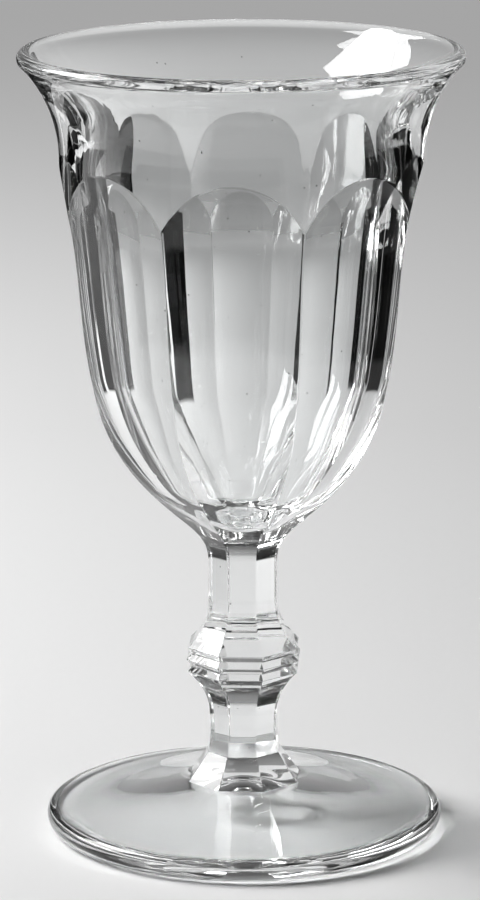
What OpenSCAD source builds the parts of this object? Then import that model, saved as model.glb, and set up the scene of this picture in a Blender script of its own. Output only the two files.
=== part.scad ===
// Water goblet of clear pressed glass: a round foot, an eight-sided stem with a ringed knop,
// and a deep bowl whose eight flat panels end in arches under a flared lip.
// Millimetres, +Z up, origin at the middle of the foot's underside, one panel facing -Y.

/* [Panels] */
// Number of flat panels round the stem, the knop and the bowl
panel_count = 8; // [6, 8, 10, 12]

/* [Foot] */
// Diameter of the foot
foot_d = 76.6; // [64:0.2:96]
// Height of the foot's middle, where the stem stands on it
foot_h = 9.7; // [8:0.1:14]
// Thickness of the foot's rounded edge
foot_edge_t = 4.8; // [3.6:0.1:6]
// Rounding of the edge's upper corner
foot_edge_top_r = 1.7; // [0.8:0.1:2.4]
// Depth of the cone-shaped hollow under the foot
foot_hollow = 7.2; // [0.4:0.1:7.6]
// Width of the flat ring that the foot rests on
foot_ring_w = 2.3; // [1.5:0.1:6]

/* [Lower stem] */
// Height of the stem from the foot to the knop
lower_stem_h = 14.6; // [11:0.1:24]
// Width across the flats where the stem stands on the foot
stem_base_w = 21; // [18:0.1:28]
// Height of the skirt that spreads onto the foot
skirt_h = 5.7; // [3:0.1:8]
// Width across the flats where the skirt breaks from the shaft
skirt_top_w = 13.5; // [12.6:0.1:16]
// Width across the flats at the lower stem's waist
lower_waist_w = 12.7; // [9:0.1:14]

/* [Knop] */
// Width across the flats of the middle ring, the widest of the three
knop_w = 21.6; // [18:0.1:28]
// How much narrower the outer rings are, across the flats
ring_step_w = 0.6; // [0:0.1:1.6]
// Height from the sharp edge of one ring to the next
ring_pitch = 2.35; // [1.6:0.05:3.2]
// Depth of the V groove between two rings
groove_depth = 0.7; // [0.3:0.05:1.2]
// Height of the knop's lower taper
knop_lower_h = 7.5; // [5:0.1:12]
// Height of the knop's upper taper
knop_upper_h = 7.7; // [5:0.1:12]

/* [Upper stem] */
// Height of the straight stem from the knop to the bowl
upper_stem_h = 7.3; // [4:0.1:20]
// Width across the flats of the upper stem
stem_w = 13.2; // [10:0.1:16]

/* [Bowl] */
// Height of the bowl from the stem to the top of the lip
bowl_h = 100.5; // [90:0.5:130]
// Height of the arch tops above the bottom of the bowl
arch_h = 80; // [70:0.5:85]
// Diameter of the round band that the arches are cut in
arch_d = 69; // [62:0.2:76]
// Diameter of the lip
rim_d = 84.4; // [80:0.2:96]
// Thickness of the rounded lip
lip_t = 3; // [2:0.1:4]
// Glass between the bottom of the inside and the stem
floor_t = 11.8; // [7:0.1:14]
// Wall at the shoulder, where the bowl turns into the stem
shoulder_t = 5.5; // [3:0.1:7]
// Wall at the middle of a panel
panel_t = 2.1; // [1.6:0.1:4]
// Wall at the arch tops
arch_t = 5.3; // [2.2:0.1:6.5]

/* [Hidden] */

// Colour of clear glass
glass = [0.82, 0.88, 0.88, 0.55];

// Longest step along a curve, and steps along each arc
curve_step = 1.6;
arc_steps = 10;
// Share of the distance between two stations that a curve leaves and arrives straight
handle_share = 0.36;

// Heights at which the pieces meet
lower_stem_z = foot_h;
knop_z = lower_stem_z + lower_stem_h;
upper_stem_z = knop_z + knop_lower_h + 2 * ring_pitch + knop_upper_h;
bowl_z = upper_stem_z + upper_stem_h;

// Foot: the stem stands on a small flat land, just wider than its corners
foot_r = foot_d / 2;
foot_land_gap = foot_edge_t / 16;
foot_land_r = corner_r(stem_base_w) + foot_land_gap;
foot_edge_low_r = foot_edge_t - foot_edge_top_r;
foot_ring_out_r = foot_r - foot_edge_low_r;
foot_ring_in_r = foot_ring_out_r - foot_ring_w;
foot_land_lean = 104;
foot_edge_lean = 97;

// Hollow under the foot: stations from its edge to its middle, as shares of its width, its depth
// and its mean slope
hollow_width_shares = [1, 0.4255, 0.152, 0];
hollow_depth_shares = [0, 0.5, 0.833, 1];
hollow_slope_shares = [0.5, 1, 1.65, 0];
// Lean of a line that runs level towards the axis
inward_lean = -90;

// Lower stem: the shaft leans in at the skirt, is upright at its waist and leans out at the knop
waist_height_share = 0.55;
skirt_top_lean = -10;
shaft_top_lean = 5;

// Knop: lean of the tapers where they reach the outer rings
knop_lean = 43;

// Bowl: stations of a panel's curve, as shares of the way up to the arch top
// and of the way out from the stem to the arch band, with the lean at each station
panel_height_shares = [0.03625, 0.136, 0.346, 0.494];
panel_width_shares = [0.0018, 0.194, 0.652, 0.767];
panel_leans = [3.5, 47, 24, 10.8];
arch_lean = 20.9;
// The panel's curve runs on past the arch top, so that it cuts cleanly through the band
arch_overrun = arch_h / 100;

arch_r = arch_d / 2;
arch_z = bowl_z + arch_h;
rim_r = rim_d / 2;
lip_r = lip_t / 2;
rim_z = bowl_z + bowl_h;
lip_middle = [rim_r - lip_r, rim_z - lip_r];

// Flare: an arc that leaves the arch band upright and runs tangent into the lip
flare_run = lip_middle[0] - arch_r;
flare_rise = lip_middle[1] - arch_z;
flare_r = (pow(flare_run, 2) + pow(flare_rise, 2) - pow(lip_r, 2)) / (2 * (flare_run + lip_r));
flare_angle = atan2(flare_rise, flare_r - flare_run);

// Inside of the bowl: heights of its stations as shares of the arch height, and how far out the
// outside's curve is beside the shoulder and the upper station
shoulder_height_share = 0.24;
shoulder_width_share = 0.5;
side_height_share = 0.494;
side_width_share = 0.767;
upper_height_share = 0.731;
upper_width_share = 0.8495;
// Bottom station, as shares of the way from the middle of the bottom to the shoulder
bottom_height_share = 0.2027;
bottom_width_share = 0.3322;
bottom_slope_share = 1.082;
shoulder_lean = 42;
side_lean = 9.5;
upper_lean = 4.5;
inner_arch_lean = 1.5;

// Distance from the axis to a corner of a piece with a given width across its flats
function corner_r(width) = width / 2 / cos(180 / panel_count);

// Point a distance away from a station, along the station's lean from upright
function reach(station, distance) =
    [station[0] + distance * sin(station[2]), station[1] + distance * cos(station[2])];

// Smooth curve between two stations, each [distance from the axis, height, lean]
function span(a, b) =
    let (chord = norm([b[0] - a[0], b[1] - a[1]]))
    let (handle = handle_share * chord)
    let (steps = ceil(chord / curve_step))
    let (p = [[a[0], a[1]], reach(a, handle), reach(b, -handle), [b[0], b[1]]])
    [for (i = [1 : steps])
        let (t = i / steps, u = 1 - t)
        pow(u, 3) * p[0] + 3 * pow(u, 2) * t * p[1] + 3 * u * pow(t, 2) * p[2] + pow(t, 3) * p[3]];

// Smooth curve through a list of stations
function curve(stations) = concat(
    [[stations[0][0], stations[0][1]]],
    [for (i = [1 : len(stations) - 1]) each span(stations[i - 1], stations[i])]);

// Points of an arc about a middle, from one angle to another
function arc(middle, radius, from, to, steps) =
    [for (i = [0 : steps])
        let (angle = from + (to - from) * i / steps)
        middle + radius * [cos(angle), sin(angle)]];

function reversed(list) = [for (i = [len(list) - 1 : -1 : 0]) list[i]];

// Half width of a panel at a share of the way from the stem to the arch band
function panel_half_w(share) = stem_w / 2 + share * (arch_r - stem_w / 2);

// Solid whose flats all follow one outline of half widths and heights
module flat_sided(outline) {
    reach_r = 2 * max([for (p = outline) p[0]]);
    whole = concat(outline, reversed([for (p = outline) [-p[0], p[1]]]));
    intersection_for (i = [0 : panel_count / 2 - 1])
        rotate([0, 0, i * 360 / panel_count])
            rotate([90, 0, 0])
                linear_extrude(height = 2 * reach_r, center = true)
                    polygon(whole);
}

module foot() {
    top_corner = [foot_r - foot_edge_top_r, foot_edge_low_r];
    low_corner = [foot_ring_out_r, foot_edge_low_r];
    top = curve([[foot_land_r, foot_h, foot_land_lean], [top_corner[0], foot_edge_t, foot_edge_lean]]);
    upper_edge = arc(top_corner, foot_edge_top_r, 90, 0, arc_steps);
    lower_edge = arc(low_corner, foot_edge_low_r, 0, -90, arc_steps);
    hollow = curve([for (i = [0 : len(hollow_width_shares) - 1])
        [hollow_width_shares[i] * foot_ring_in_r,
         hollow_depth_shares[i] * foot_hollow,
         inward_lean + atan(hollow_slope_shares[i] * foot_hollow / foot_ring_in_r)]]);
    color(glass)
        rotate_extrude($fn = 180)
            polygon(concat(
                [[0, foot_h]],
                top,
                [for (i = [1 : arc_steps]) upper_edge[i]],
                [for (i = [1 : arc_steps]) lower_edge[i]],
                hollow));
}

module lower_stem() {
    base = [stem_base_w / 2, lower_stem_z];
    skirt_top = [skirt_top_w / 2, lower_stem_z + skirt_h];
    shaft = curve([
        [skirt_top[0], skirt_top[1], skirt_top_lean],
        [lower_waist_w / 2, skirt_top[1] + waist_height_share * (knop_z - skirt_top[1]), 0],
        [stem_w / 2, knop_z, shaft_top_lean]]);
    color(glass)
        flat_sided(concat([base], shaft));
}

// Half width of the knop at the sharp edge of each of its three rings
function ring_half_w(i) = knop_w / 2 - (i == 1 ? 0 : ring_step_w / 2);

module knop() {
    first_ring_z = knop_z + knop_lower_h;
    last_ring_z = first_ring_z + 2 * ring_pitch;
    below = curve([[stem_w / 2, knop_z, shaft_top_lean], [ring_half_w(0), first_ring_z, knop_lean]]);
    rings = [for (i = [0 : 1])
        each [
            [ring_half_w(0) - groove_depth, first_ring_z + (i + 0.5) * ring_pitch],
            [ring_half_w(i + 1), first_ring_z + (i + 1) * ring_pitch]]];
    above = curve([[ring_half_w(2), last_ring_z, -knop_lean], [stem_w / 2, upper_stem_z, 0]]);
    color(glass)
        flat_sided(concat(below, rings, [for (i = [1 : len(above) - 1]) above[i]]));
}

module upper_stem() {
    color(glass)
        flat_sided([[stem_w / 2, upper_stem_z], [stem_w / 2, bowl_z]]);
}

// Outline of the panels, run on past the arch tops and clear of the lip
function panel_outline() =
    let (stations = concat(
        [[stem_w / 2, bowl_z, 0]],
        [for (i = [0 : len(panel_leans) - 1])
            [panel_half_w(panel_width_shares[i]), bowl_z + panel_height_shares[i] * arch_h, panel_leans[i]]],
        [[arch_r, arch_z, arch_lean]]))
    let (past = reach([arch_r, arch_z, arch_lean], arch_overrun))
    let (clear = rim_r + lip_t)
    concat(curve(stations), [past, [clear, past[1] + clear - past[0]], [clear, rim_z + lip_t]]);

// Wall of the bowl as a round shell, solid down to the stem
function shell_outline() =
    let (flare_middle = [arch_r + flare_r, arch_z])
    let (flare = arc(flare_middle, flare_r, 180, 180 - flare_angle, arc_steps))
    let (lip = arc(lip_middle, lip_r, -flare_angle, 180 - flare_angle, 2 * arc_steps))
    let (lip_inside = lip[len(lip) - 1])
    let (floor_z = bowl_z + floor_t)
    let (upper = [panel_half_w(upper_width_share) - panel_t, bowl_z + upper_height_share * arch_h])
    let (side = [panel_half_w(side_width_share) - panel_t, bowl_z + side_height_share * arch_h])
    let (shoulder = [
        panel_half_w(shoulder_width_share) - shoulder_t,
        bowl_z + shoulder_height_share * arch_h])
    let (bottom_rise = shoulder[1] - floor_z)
    let (bottom = [bottom_width_share * shoulder[0], floor_z + bottom_height_share * bottom_rise])
    let (bottom_lean = inward_lean - atan(bottom_slope_share * bottom_rise / shoulder[0]))
    let (inside = curve([
        [lip_inside[0], lip_inside[1], flare_angle + 180],
        [arch_r - arch_t, arch_z, inner_arch_lean + 180],
        [upper[0], upper[1], upper_lean + 180],
        [side[0], side[1], side_lean + 180],
        [shoulder[0], shoulder[1], shoulder_lean + 180],
        [bottom[0], bottom[1], bottom_lean],
        [0, floor_z, inward_lean]]))
    concat(
        [[0, bowl_z], [arch_r, bowl_z]],
        flare,
        [for (i = [1 : len(lip) - 1]) lip[i]],
        [for (i = [1 : len(inside) - 1]) inside[i]]);

module bowl() {
    color(glass)
        intersection() {
            rotate_extrude($fn = 180)
                polygon(shell_outline());
            flat_sided(panel_outline());
        }
}

foot();
lower_stem();
knop();
upper_stem();
bowl();
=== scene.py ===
"""Water goblet of clear pressed glass, eight-sided, standing on a pale studio table.

The goblet's lengths are in millimetres until a mesh is made, and the studio's are in metres.
Angles that are written as numbers are in degrees.
"""

import bpy
import math
from bisect import bisect_right
from mathutils import Matrix, Vector


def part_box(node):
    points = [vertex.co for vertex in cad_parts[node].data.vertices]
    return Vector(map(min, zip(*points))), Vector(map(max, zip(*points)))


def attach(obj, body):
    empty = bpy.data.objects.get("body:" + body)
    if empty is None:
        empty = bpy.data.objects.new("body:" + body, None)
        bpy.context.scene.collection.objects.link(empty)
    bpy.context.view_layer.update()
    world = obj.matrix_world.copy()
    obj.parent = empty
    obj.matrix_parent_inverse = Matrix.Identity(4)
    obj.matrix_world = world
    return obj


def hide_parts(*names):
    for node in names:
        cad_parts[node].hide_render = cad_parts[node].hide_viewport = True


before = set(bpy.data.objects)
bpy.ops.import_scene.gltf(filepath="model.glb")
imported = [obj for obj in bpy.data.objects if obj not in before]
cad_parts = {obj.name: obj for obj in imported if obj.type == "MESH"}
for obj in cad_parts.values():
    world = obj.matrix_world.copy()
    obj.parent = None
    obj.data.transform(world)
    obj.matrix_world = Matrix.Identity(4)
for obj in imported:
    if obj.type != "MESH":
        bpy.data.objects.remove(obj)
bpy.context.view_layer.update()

MM = 0.001

# Camera, at the photograph's place

CAMERA_DISTANCE = 0.8463     # from the goblet's axis
CAMERA_HEIGHT = 0.2722
CAMERA_SIDE = 3.0            # round to the right of the front panel
CAMERA_PITCH = 13.136        # down
CAMERA_YAW = 0.037           # puts the goblet just right of the picture's middle
CAMERA_ROLL = -0.23          # the goblet leans a hair to the left in the picture
SENSOR = 36.0                # along the picture's long side
LENS = 181.8


def make_camera():
    """The scene's camera, looking down at the goblet."""
    data = bpy.data.cameras.new("camera")
    data.lens = LENS
    data.sensor_width = SENSOR
    data.clip_start, data.clip_end = 0.05, 50.0
    camera = bpy.data.objects.new("camera", data)
    bpy.context.scene.collection.objects.link(camera)
    side = math.radians(CAMERA_SIDE)
    turn = (Matrix.Rotation(side + math.radians(CAMERA_YAW), 4, "Z")
            @ Matrix.Rotation(math.radians(90 - CAMERA_PITCH), 4, "X")
            @ Matrix.Rotation(math.radians(CAMERA_ROLL), 4, "Z"))
    place = Vector((CAMERA_DISTANCE * math.sin(side), -CAMERA_DISTANCE * math.cos(side),
                    CAMERA_HEIGHT))
    camera.matrix_world = Matrix.Translation(place) @ turn
    bpy.context.scene.camera = camera


make_camera()

# Sizes of the goblet


def top_of(node):
    """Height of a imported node's top, to the tenth that the part's sizes are given to."""
    return round(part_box(node)[1].z / MM, 1)


def reach_of(node):
    """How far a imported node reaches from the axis, to a tenth."""
    return round(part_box(node)[1].x / MM, 1)


PANELS = 8
HALF_PANEL = math.pi / PANELS                # radians
SLOPE = math.tan(HALF_PANEL)

# _W is a half width across the flats, _R a radius, _Z a height above the table, _T a thickness
LOWER_STEM_Z, KNOP_Z = top_of("foot"), top_of("lower_stem")
UPPER_STEM_Z, BOWL_Z, RIM_Z = top_of("knop"), top_of("upper_stem"), top_of("bowl")

FOOT_R = reach_of("foot")
FOOT_EDGE_T = 4.8            # thickness of the foot's edge
FOOT_EDGE_TOP_R = 1.7        # rounding of its upper corner
FOOT_RING_R = 32.9           # inside of the flat ring that the goblet rests on
HOLLOW = 7.2                 # depth of the cone under the foot
FOOT_TOP_R = 11.67           # where the foot's slope ends at the skirt

SKIRT_W, STEM_W = reach_of("lower_stem"), reach_of("upper_stem")
SKIRT_TOP_W, SKIRT_H = 6.75, 5.7
WAIST_W = 6.35
WAIST_SHARE = 0.55           # how far up the lower stem's shaft its waist is
STEM_LEAN = 5                # where the lower stem runs into the knop

RING_W = reach_of("knop")    # the knop's middle ring
OUTER_RING_W, GROOVE_W = 10.5, 9.8
RING_PITCH = 2.35
KNOP_TAPER_H, KNOP_TAPER_LEAN = 7.5, 43

MIDDLE_W, MIDDLE_Z = 28.0, 91.02
ARCH_R, ARCH_Z, ARCH_LEAN = 34.5, 131.5, 20.9
RIM_R, LIP_R = reach_of("bowl"), 1.5
# The wall at the bottom, at the middle of a panel and at the arches
BOWL_FLOOR_T, PANEL_T, ARCH_T = 11.8, 2.1, 5.3

# Radii to which fire polishing has worn the sharp edges and the ridges
FOOT_WEAR, SKIRT_WEAR, RING_WEAR, ARCH_WEAR = 0.25, 0.5, 0.16, 0.1
STEM_RIDGE, NECK_RIDGE, BOWL_RIDGE = 0.4, 0.35, 0.5
RIDGE_RISE = 30              # the bowl's ridges reach their full rounding this far up

# Lines and arcs: a station is (distance from the axis, height, lean out from straight up)

LINE_STEP = 0.8              # longest step along a curve
HANDLE_SHARE = 0.36          # a handle's length as a share of its chord
CORNER_SHARE = 0.45          # the most of a stretch that one worn corner takes up


def reach(station, distance):
    """Point a distance away from a station, along its lean."""
    lean = math.radians(station[2])
    return station[0] + distance * math.sin(lean), station[1] + distance * math.cos(lean)


def curve(stations, step=LINE_STEP):
    """Smooth line through stations, each leaving and arriving at its own lean."""
    points = [tuple(stations[0][:2])]
    for a, b in zip(stations, stations[1:]):
        chord = math.hypot(b[0] - a[0], b[1] - a[1])
        handles = a[:2], reach(a, HANDLE_SHARE * chord), reach(b, -HANDLE_SHARE * chord), b[:2]
        steps = math.ceil(chord / step)
        for i in range(1, steps + 1):
            t = i / steps
            u = 1 - t
            shares = u ** 3, 3 * u * u * t, 3 * u * t * t, t ** 3
            points.append(tuple(sum(s * p[k] for s, p in zip(shares, handles)) for k in (0, 1)))
    return points


def straight(start, end, steps):
    """Even steps from one point to another."""
    return [tuple(a + (b - a) * i / steps for a, b in zip(start, end)) for i in range(steps + 1)]


def arc(middle, radius, start, end, steps):
    """Points of an arc about a middle, from one angle to another."""
    angles = [math.radians(start + (end - start) * i / steps) for i in range(steps + 1)]
    return [(middle[0] + radius * math.cos(a), middle[1] + radius * math.sin(a)) for a in angles]


def eased(points, radius, least_turn=12.0, steps=4):
    """The same line with each sharp corner worn to a curve, as fire polishing leaves it."""
    made = [points[0]]
    for before, corner, after in zip(points, points[1:], points[2:]):
        into = Vector(corner) - Vector(before)
        out = Vector(after) - Vector(corner)
        turn = into.angle(out)
        if turn < math.radians(least_turn):
            made.append(corner)
            continue
        tangent = min(radius * math.tan(turn / 2),
                      CORNER_SHARE * into.length, CORNER_SHARE * out.length)
        start = Vector(corner) - into.normalized() * tangent
        end = Vector(corner) + out.normalized() * tangent
        for i in range(steps + 1):
            t = i / steps
            point = (1 - t) ** 2 * start + 2 * t * (1 - t) * Vector(corner) + t * t * end
            made.append(tuple(point))
    made.append(points[-1])
    return made


# Rows of points across one panel

# Each column is a share of the flat and a turn round the ridge beside it, in radians
FLAT_STEPS, CORNER_STEPS = 16, 4
COLUMNS = ([(-1, -HALF_PANEL * i / CORNER_STEPS) for i in range(CORNER_STEPS, 0, -1)]
           + [(2 * i / FLAT_STEPS - 1, 0.0) for i in range(FLAT_STEPS + 1)]
           + [(1, HALF_PANEL * i / CORNER_STEPS) for i in range(1, CORNER_STEPS + 1)])


def flat_point(column, width, corner):
    """Place across one flat, whose ridges are rounded to the corner radius."""
    share, turn = COLUMNS[column]
    core = max(width - corner, 0.0)
    corner = min(corner, width)
    return core * SLOPE * share + corner * math.sin(turn), core + corner * math.cos(turn)


# Directions of the columns on a round member, as they are on the skirt
COLUMN_ANGLES = [math.atan2(*flat_point(i, SKIRT_W, STEM_RIDGE)) for i in range(len(COLUMNS))]


def flat_row(width, z, corner):
    """A row along one flat, with half a ridge at each end."""
    return [(*flat_point(i, width, corner), z) for i in range(len(COLUMNS))]


def round_row(radius, z):
    """A row along an eighth of a circle."""
    return [(radius * math.sin(a), radius * math.cos(a), z) for a in COLUMN_ANGLES]


def ridge_radius(z):
    """Rounding of the ridges: tightest where the stem meets the bowl, softer up the bowl."""
    if z <= BOWL_Z:
        share = max((z - UPPER_STEM_Z) / (BOWL_Z - UPPER_STEM_Z), 0)
        return STEM_RIDGE + (NECK_RIDGE - STEM_RIDGE) * share
    return NECK_RIDGE + (BOWL_RIDGE - NECK_RIDGE) * min((z - BOWL_Z) / RIDGE_RISE, 1)


# Foot

def foot_rows():
    """Up the hollow, out over the ring and the edge, and in over the top to the skirt."""
    low_r = FOOT_EDGE_T - FOOT_EDGE_TOP_R
    top_middle = FOOT_R - FOOT_EDGE_TOP_R
    hollow = curve([(0, HOLLOW, 90), (5, 6.0, 110), (14, 3.6, 102.5), (FOOT_RING_R, 0, 96.2)],
                   step=1.0)
    edge = (arc((FOOT_R - low_r, low_r), low_r, -90, 0, steps=12)
            + arc((top_middle, low_r), FOOT_EDGE_TOP_R, 0, 90, steps=9)[1:])
    top = curve([(top_middle, FOOT_EDGE_T, -83), (FOOT_TOP_R, LOWER_STEM_Z, -76)], step=1.0)
    rows = [round_row(r, z) for r, z in eased(hollow + edge, FOOT_WEAR)[:-1] + top]
    rows.append(flat_row(SKIRT_W, LOWER_STEM_Z, STEM_RIDGE))
    rows.append(round_row(0, LOWER_STEM_Z))
    return rows


# Stem and knop

def stem_rows(line):
    """Rows of a member with flats from bottom to top, closed at both ends."""
    return ([round_row(0, line[0][1])]
            + [flat_row(w, z, ridge_radius(z)) for w, z in line]
            + [round_row(0, line[-1][1])])


def lower_stem_line():
    """The skirt's straight slope, and the shaft with its waist."""
    shaft_z = LOWER_STEM_Z + SKIRT_H
    waist_z = shaft_z + WAIST_SHARE * (KNOP_Z - shaft_z)
    skirt = straight((SKIRT_W, LOWER_STEM_Z), (SKIRT_TOP_W, shaft_z), steps=5)[:-1]
    shaft = curve([(SKIRT_TOP_W, shaft_z, -10), (WAIST_W, waist_z, 0), (STEM_W, KNOP_Z, STEM_LEAN)])
    return eased(skirt + shaft, SKIRT_WEAR)


def knop_line():
    """A taper out, three sharp rings with V grooves between them, and a taper in."""
    first = KNOP_Z + KNOP_TAPER_H
    last = first + 2 * RING_PITCH
    below = curve([(STEM_W, KNOP_Z, STEM_LEAN), (OUTER_RING_W, first, KNOP_TAPER_LEAN)])
    rings = [(GROOVE_W, first + RING_PITCH / 2), (RING_W, first + RING_PITCH),
             (GROOVE_W, last - RING_PITCH / 2)]
    above = curve([(OUTER_RING_W, last, -KNOP_TAPER_LEAN), (STEM_W, UPPER_STEM_Z, 0)])
    return eased(below + rings + above, RING_WEAR)


def upper_stem_line():
    """A plain straight shaft."""
    return straight((STEM_W, UPPER_STEM_Z), (STEM_W, BOWL_Z), steps=8)


# Bowl: flats that lean out until they meet a round band, which flares to the lip

PAST_ARCH = 8                # the flats' line runs on above the arches by this much
ARCH_STATION = (ARCH_R, ARCH_Z, ARCH_LEAN)
PANEL_LINE = curve([
    (STEM_W, BOWL_Z, 0), (6.65, 54.4, 3.5), (12.0, 62.38, 47), (24.79, 79.18, 24),
    (MIDDLE_W, MIDDLE_Z, 10.8), ARCH_STATION, (*reach(ARCH_STATION, PAST_ARCH), ARCH_LEAN)],
    step=0.25)
PANEL_HEIGHTS = [p[1] for p in PANEL_LINE]

# The flare is the arc that leaves the band straight up and runs into the lip's circle
LIP_MIDDLE = (RIM_R - LIP_R, RIM_Z - LIP_R)
FLARE_RUN, FLARE_RISE = LIP_MIDDLE[0] - ARCH_R, LIP_MIDDLE[1] - ARCH_Z
FLARE_R = (FLARE_RUN ** 2 + FLARE_RISE ** 2 - LIP_R ** 2) / (2 * (FLARE_RUN + LIP_R))
FLARE_ANGLE = math.degrees(math.atan2(FLARE_RISE, FLARE_R - FLARE_RUN))

NECK_ROWS, NECK_STEP = 25, 0.4
PANEL_ROWS, BAND_ROWS = 84, 8
# Rows that follow the arches, by their height above them
ARCH_ROWS = (-1.4, -0.9, -0.6, -0.4, -0.27, -0.18, -0.09, 0, 0.09, 0.18, 0.27, 0.4, 0.6, 0.9)


def panel_width(z):
    """Half width of the bowl across its flats."""
    i = min(max(bisect_right(PANEL_HEIGHTS, z), 1), len(PANEL_LINE) - 1)
    (w0, z0), (w1, z1) = PANEL_LINE[i - 1], PANEL_LINE[i]
    return w0 + (w1 - w0) * (z - z0) / (z1 - z0)


def band_radius(z):
    """Radius of the round band and the start of its flare."""
    if z <= ARCH_Z:
        return ARCH_R
    return ARCH_R + FLARE_R - math.sqrt(FLARE_R ** 2 - (z - ARCH_Z) ** 2)


def bowl_point(column, z):
    """Outside of the bowl: the nearer of the flat and the band, with a rounded edge between."""
    x, y = flat_point(column, panel_width(z), ridge_radius(z))
    flat, band = math.hypot(x, y), band_radius(z)
    near = max(ARCH_WEAR - abs(flat - band), 0) / ARCH_WEAR
    radius = min(flat, band) - near * near * ARCH_WEAR / 4
    return x * radius / flat, y * radius / flat, z


def arch_height(column):
    """Height at which this column's flat meets the band, found by halving."""
    low, high = 100.0, ARCH_Z + 0.5     # below where any column does, and above
    for _ in range(40):
        z = (low + high) / 2
        if math.hypot(*flat_point(column, panel_width(z), ridge_radius(z))) < band_radius(z):
            low = z
        else:
            high = z
    return low


def bowl_outside():
    """Rows up the outside. They are level at the stem, bend to follow the arches, lie closest at
    the arches' edge, and are level again above it."""
    arches = [arch_height(column) for column in range(len(COLUMNS))]
    panel_top, band_top = ARCH_Z - 2, ARCH_Z + 3
    bend_from = 0.45
    above = ARCH_ROWS[-1]
    levels = [BOWL_Z + NECK_STEP * i for i in range(NECK_ROWS)]
    neck_top = levels[-1]
    levels += [neck_top + (panel_top - neck_top) * i / PANEL_ROWS for i in range(1, PANEL_ROWS + 1)]
    lines = []
    for level in levels:
        share = (level - BOWL_Z) / (panel_top - BOWL_Z)
        bend = max(share - bend_from, 0) / (1 - bend_from)
        bend = bend * bend * (3 - 2 * bend)
        lines.append([level + (arch - ARCH_Z) * bend for arch in arches])
    lines += [[arch + rise for arch in arches] for rise in ARCH_ROWS]
    for i in range(1, BAND_ROWS + 1):
        share = i / BAND_ROWS
        lines.append([arch + above + (band_top - arch - above) * share for arch in arches])
    rows = [[bowl_point(column, z) for column, z in enumerate(line)] for line in lines]

    start = math.degrees(math.asin((band_top - ARCH_Z) / FLARE_R))
    flare = arc((ARCH_R + FLARE_R, ARCH_Z), FLARE_R, 180 - start, 180 - FLARE_ANGLE, steps=22)
    return rows + [round_row(r, z) for r, z in flare[1:]]


def bowl_rows():
    """Up the outside, over the lip and down the round inside."""
    lip = arc(LIP_MIDDLE, LIP_R, -FLARE_ANGLE, 180 - FLARE_ANGLE, steps=20)[1:]
    inside = curve([
        (*lip[-1], 180 + FLARE_ANGLE), (ARCH_R - ARCH_T, ARCH_Z, 181.5), (28.2, 110.0, 184.5),
        (MIDDLE_W - PANEL_T, MIDDLE_Z, 189.5), (15.05, 70.7, 222), (5.0, 64.8, 242),
        (0, BOWL_Z + BOWL_FLOOR_T, 270)], step=0.6)[1:]
    return [round_row(0, BOWL_Z)] + bowl_outside() + [round_row(r, z) for r, z in lip + inside]


# Meshes: one panel's width, copied round the axis and closed

MERGE_DISTANCE = 2e-6        # metres
SMOOTH_ANGLE = 50            # sharper edges than this stay crisp
SEAM_R = 11.0                # millimetres: a seam lies nearer the axis than this
SEAM_TOLERANCE = 0.001       # millimetres


def deselect():
    """Leaves edit mode and selects nothing."""
    if bpy.context.object and bpy.context.object.mode != "OBJECT":
        bpy.ops.object.mode_set(mode="OBJECT")
    bpy.ops.object.select_all(action="DESELECT")


def panel_grid(name, rows):
    """A grid whose points take the places that the rows give, one panel wide."""
    deselect()
    across, up = len(COLUMNS) - 1, len(rows) - 1
    bpy.ops.mesh.primitive_grid_add(x_subdivisions=across, y_subdivisions=up, size=1)
    piece = bpy.context.object
    piece.name = piece.data.name = name
    for vertex in piece.data.vertices:
        column = round((vertex.co.x + 0.5) * across)
        row = round((vertex.co.y + 0.5) * up)
        x, y, z = rows[row][column]
        vertex.co = Vector((x, -y, z)) * MM
    return piece


def copy_round():
    """Copies the panel in hand round the axis and joins the copies into one closed skin."""
    bpy.ops.object.mode_set(mode="EDIT")
    bpy.ops.mesh.select_all(action="SELECT")
    bpy.ops.mesh.spin(steps=PANELS - 1, dupli=True, angle=2 * math.pi * (PANELS - 1) / PANELS,
                      center=(0, 0, 0), axis=(0, 0, 1))
    bpy.ops.mesh.select_all(action="SELECT")
    bpy.ops.mesh.remove_doubles(threshold=MERGE_DISTANCE)
    bpy.ops.mesh.normals_make_consistent(inside=False)
    bpy.ops.object.mode_set(mode="OBJECT")
    bpy.ops.object.shade_smooth_by_angle(angle=math.radians(SMOOTH_ANGLE))


def mark_seams(mesh, seams):
    """Gives the second material to the level faces in which two members meet."""
    for face in mesh.polygons:
        heights = [mesh.vertices[v].co.z / MM for v in face.vertices]
        level = any(all(abs(height - z) < SEAM_TOLERANCE for height in heights) for z in seams)
        if level and face.center.to_2d().length / MM < SEAM_R:
            face.material_index = 1


def pressed(name, rows, seams):
    """A member of the goblet, which stands for its CAD node.

    The rows run from the underside's middle out, up, and round to the top's middle. The seams
    are the heights at which the glass runs on into the next member."""
    piece = panel_grid(name, rows)
    copy_round()
    mark_seams(piece.data, seams)
    piece.data.materials.append(glass)
    piece.data.materials.append(seam)
    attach(piece, "root")
    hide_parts(name)


# Materials

def linear(colour):
    """sRGB hex to linear RGBA."""
    values = [int(colour[i:i + 2], 16) / 255 for i in (1, 3, 5)]
    return [v / 12.92 if v <= 0.04045 else ((v + 0.055) / 1.055) ** 2.4 for v in values] + [1.0]


def add(tree, kind, links=(), **settings):
    """Adds a node with its settings, and sets or links its inputs by name or number."""
    node = tree.nodes.new(kind)
    for name, value in settings.items():
        setattr(node, name, value)
    for socket, value in dict(links).items():
        if isinstance(value, bpy.types.NodeSocket):
            tree.links.new(value, node.inputs[socket])
        else:
            node.inputs[socket].default_value = value
    return node


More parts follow.
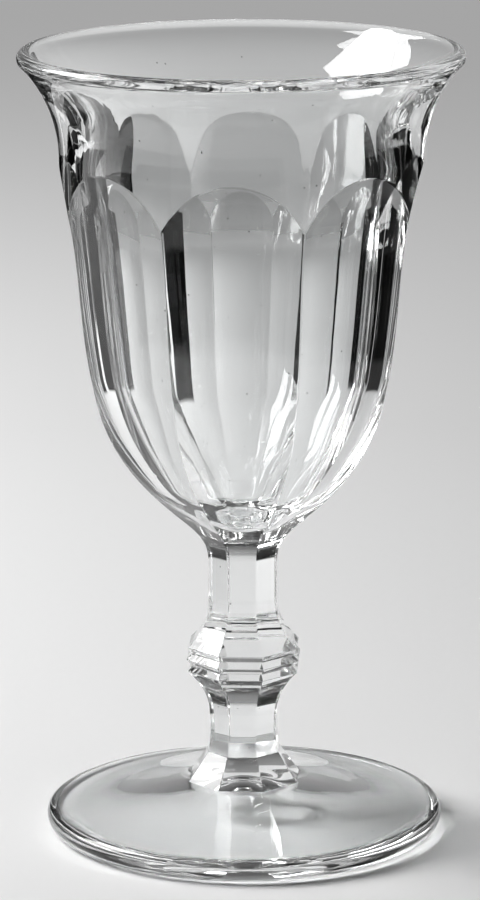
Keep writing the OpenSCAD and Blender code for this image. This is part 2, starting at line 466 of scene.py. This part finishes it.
def new_material(name):
    """A material with no nodes yet, and its node tree."""
    material = bpy.data.materials.new(name)
    material.use_nodes = True
    material.node_tree.nodes.clear()
    return material, material.node_tree


def pressed_soda_lime_glass():
    """Clear pressed glass. The iron mould chilled its skin, which leaves slow waves that bend
    what shows through. Here and there a seed, a tiny bubble, shows as a dark speck."""
    wave_length, wave_height = 7 * MM, 0.012 * MM
    seed_spacing = 4.5 * MM
    material, tree = new_material("pressed_soda_lime_glass")
    place = add(tree, "ShaderNodeTexCoord").outputs["Object"]
    waves = add(tree, "ShaderNodeTexNoise", {
        "Vector": place, "Scale": 1 / wave_length, "Detail": 1.0})
    bump = add(tree, "ShaderNodeBump", {
        "Height": waves.outputs[0], "Distance": wave_height, "Strength": 1.0})
    bubbles = add(tree, "ShaderNodeTexVoronoi", {"Vector": place, "Scale": 1 / seed_spacing})
    between = add(tree, "ShaderNodeMapRange", {
        "Value": bubbles.outputs["Distance"], "From Min": 0.025, "From Max": 0.045})
    body = add(tree, "ShaderNodeMix", {
        0: between.outputs[0], 6: linear("#484848"), 7: linear("#FDFEFE")}, data_type="RGBA")
    skin = add(tree, "ShaderNodeBsdfPrincipled", {
        "Base Color": body.outputs[2], "Roughness": 0.0, "IOR": 1.52,
        "Transmission Weight": 1.0, "Normal": bump.outputs[0]})
    add(tree, "ShaderNodeOutputMaterial", {"Surface": skin.outputs[0]})
    return material


def fused_seam():
    """Where two members are one glass: light goes straight on, and nothing shows."""
    material, tree = new_material("fused_seam")
    clear = add(tree, "ShaderNodeBsdfTransparent")
    add(tree, "ShaderNodeOutputMaterial", {"Surface": clear.outputs[0]})
    return material


def backdrop_rays(tree):
    """1 for what the camera sees, straight or in the glass, and 0 for light on the goblet."""
    path = add(tree, "ShaderNodeLightPath").outputs
    seen = add(tree, "ShaderNodeMath", {0: path["Is Camera Ray"], 1: path["Is Glossy Ray"]},
               operation="MAXIMUM")
    return add(tree, "ShaderNodeMath", {0: seen.outputs[0], 1: path["Is Transmission Ray"]},
               operation="MAXIMUM").outputs[0]


def matt_paper():
    """Matt paper: even and pale, with the lamp's light and the shadow near the goblet. Further
    off it takes on the backdrop's own pale grey."""
    material, tree = new_material("matt_paper")
    sheet = add(tree, "ShaderNodeBsdfPrincipled", {
        "Base Color": linear("#E6E6E6"), "Roughness": 0.9, "Specular IOR Level": 0.1})
    place = add(tree, "ShaderNodeTexCoord").outputs["Object"]
    distance = add(tree, "ShaderNodeVectorMath", {0: place}, operation="LENGTH").outputs["Value"]
    fade = add(tree, "ShaderNodeMapRange", {
        "Value": distance, "From Min": 0.35, "From Max": 1.5, "To Min": 0.0, "To Max": 0.34})
    glow = add(tree, "ShaderNodeMath", {0: fade.outputs[0], 1: backdrop_rays(tree)},
               operation="MULTIPLY")
    far = add(tree, "ShaderNodeEmission", {"Strength": glow.outputs[0]})
    surface = add(tree, "ShaderNodeAddShader", {0: sheet.outputs[0], 1: far.outputs[0]})
    add(tree, "ShaderNodeOutputMaterial", {"Surface": surface.outputs[0]})
    return material


def painted_tone_card(name, colour):
    """Card with one flat tone and no shine, painted as its own glow. Lamps don't light it, so its
    painted dark or grey stands for the dim room round the table. Its foot fades out into the table.
    """
    material, tree = new_material(name)
    place = add(tree, "ShaderNodeTexCoord").outputs["Object"]
    height = add(tree, "ShaderNodeSeparateXYZ", {"Vector": place}).outputs["Z"]
    solid = add(tree, "ShaderNodeMapRange", {
        "Value": height, "From Min": 0.002, "From Max": 0.012}, interpolation_type="SMOOTHSTEP")
    clear = add(tree, "ShaderNodeBsdfTransparent")
    # The tone is emitted, not lit: the card's brightness is painted
    card = add(tree, "ShaderNodeEmission", {"Color": linear(colour), "Strength": 1.0})
    surface = add(tree, "ShaderNodeMixShader", {
        0: solid.outputs[0], 1: clear.outputs[0], 2: card.outputs[0]})
    add(tree, "ShaderNodeOutputMaterial", {"Surface": surface.outputs[0]})
    return material


# The goblet

glass = pressed_soda_lime_glass()
seam = fused_seam()

pressed("foot", foot_rows(), [LOWER_STEM_Z])
pressed("lower_stem", stem_rows(lower_stem_line()), [LOWER_STEM_Z, KNOP_Z])
pressed("knop", stem_rows(knop_line()), [KNOP_Z, UPPER_STEM_Z])
pressed("upper_stem", stem_rows(upper_stem_line()), [UPPER_STEM_Z, BOWL_Z])
pressed("bowl", bowl_rows(), [BOWL_Z])

# Studio: a table, one soft lamp, and cards that the glass shows as dark strips

TABLE_R = 4.0
TABLE_DROP = 0.05 * MM       # keeps the table's face clear of the foot's
CARD_H = 0.14
CARD_LIFT = 1 * MM
AIM_Z = 0.07                 # the lamp looks at the bottom of the bowl


def make_floor():
    """The round table top."""
    deselect()
    bpy.ops.mesh.primitive_circle_add(vertices=128, radius=TABLE_R, fill_type="NGON")
    floor = bpy.context.object
    floor.name = "floor"
    floor.location.z = -TABLE_DROP
    floor.data.materials.append(matt_paper())


def around(azimuth, distance, height):
    """Place in the studio. The azimuth runs from the far side (+Y) towards the left (-X)."""
    turn = math.radians(azimuth)
    return Vector((-distance * math.sin(turn), distance * math.cos(turn), height))


def flag(name, material, azimuths, distances, height=CARD_H):
    """A curved card standing on the table, seen only in the glass. Each end has its azimuth and
    its distance from the goblet."""
    deselect()
    bpy.ops.mesh.primitive_grid_add(x_subdivisions=16, y_subdivisions=1, size=1)
    card = bpy.context.object
    card.name = name
    for vertex in card.data.vertices:
        share, up = vertex.co.x + 0.5, vertex.co.y + 0.5
        azimuth, distance = (a + (b - a) * share for a, b in (azimuths, distances))
        vertex.co = around(azimuth, distance, CARD_LIFT + height * up)
    card.data.materials.append(material)
    card.visible_camera = card.visible_diffuse = card.visible_shadow = False


def softbox(name, azimuth, elevation, distance, size, radiance):
    """A square lamp that faces the goblet. Its radiance is how bright its face is, and 1 is
    white."""
    data = bpy.data.lights.new(name, "AREA")
    data.shape = "SQUARE"
    data.size = size
    data.energy = radiance * math.pi * size * size
    lamp = bpy.data.objects.new(name, data)
    bpy.context.scene.collection.objects.link(lamp)
    lift = math.radians(elevation)
    lamp.location = around(azimuth, math.cos(lift), math.sin(lift)) * distance
    aim = Vector((0, 0, AIM_Z)) - lamp.location
    lamp.rotation_mode = "QUATERNION"
    lamp.rotation_quaternion = aim.to_track_quat("-Z", "Y")
    lamp.visible_camera = False


def make_world():
    """A backdrop that is pale at the table's edge and greyer upwards, which only the camera sees,
    straight or in the glass, and a dim room that lights the table."""
    world = bpy.data.worlds.new("studio")
    bpy.context.scene.world = world
    world.use_nodes = True
    tree = world.node_tree
    tree.nodes.clear()
    way = add(tree, "ShaderNodeTexCoord").outputs["Generated"]
    height = add(tree, "ShaderNodeSeparateXYZ", {"Vector": way}).outputs["Z"]
    low = add(tree, "ShaderNodeMapRange", {
        "Value": height, "From Min": 0.0, "From Max": 0.17, "To Min": 0.38, "To Max": 0.30})
    high = add(tree, "ShaderNodeMapRange", {
        "Value": height, "From Min": 0.20, "From Max": 0.85, "To Min": 0.0, "To Max": 0.28})
    glow = add(tree, "ShaderNodeMath", {0: low.outputs[0], 1: high.outputs[0]},
               operation="SUBTRACT")
    backdrop = add(tree, "ShaderNodeBackground", {"Strength": glow.outputs[0]})
    room = add(tree, "ShaderNodeBackground", {"Color": linear("#202020"), "Strength": 1.0})
    surface = add(tree, "ShaderNodeMixShader", {
        0: backdrop_rays(tree), 1: room.outputs[0], 2: backdrop.outputs[0]})
    add(tree, "ShaderNodeOutputWorld", {"Surface": surface.outputs[0]})


make_floor()
# Cards of painted dark and of painted grey glow, which the glass shows in place of the dim room
black, grey = painted_tone_card("black_card", "#060606"), painted_tone_card("grey_glow_card", "#555555")
flag("left_flag", black, (20, 40), (0.26, 0.22))
flag("far_left_flag", grey, (40, 50), (0.34, 0.34), height=0.2)
flag("side_flag", black, (50, 73), (0.22, 0.19))
flag("right_flag", black, (-20, -66), (0.25, 0.19))
flag("back_flag", black, (107, 208), (0.23, 0.23))
flag("back_right_flag", black, (242, 294), (0.23, 0.23))
softbox("key_light", azimuth=79, elevation=41, distance=0.9, size=0.58, radiance=11.8)
make_world()

scene = bpy.context.scene
scene.view_settings.view_transform = "Standard"
scene.cycles.max_bounces = 32
scene.cycles.transmission_bounces = 32
scene.cycles.glossy_bounces = 16
scene.cycles.transparent_max_bounces = 32
scene.cycles.use_denoising = True
# The light that reaches the table through the foot keeps its full strength and its edges
scene.cycles.blur_glossy = 0.0
scene.cycles.sample_clamp_indirect = 0.0
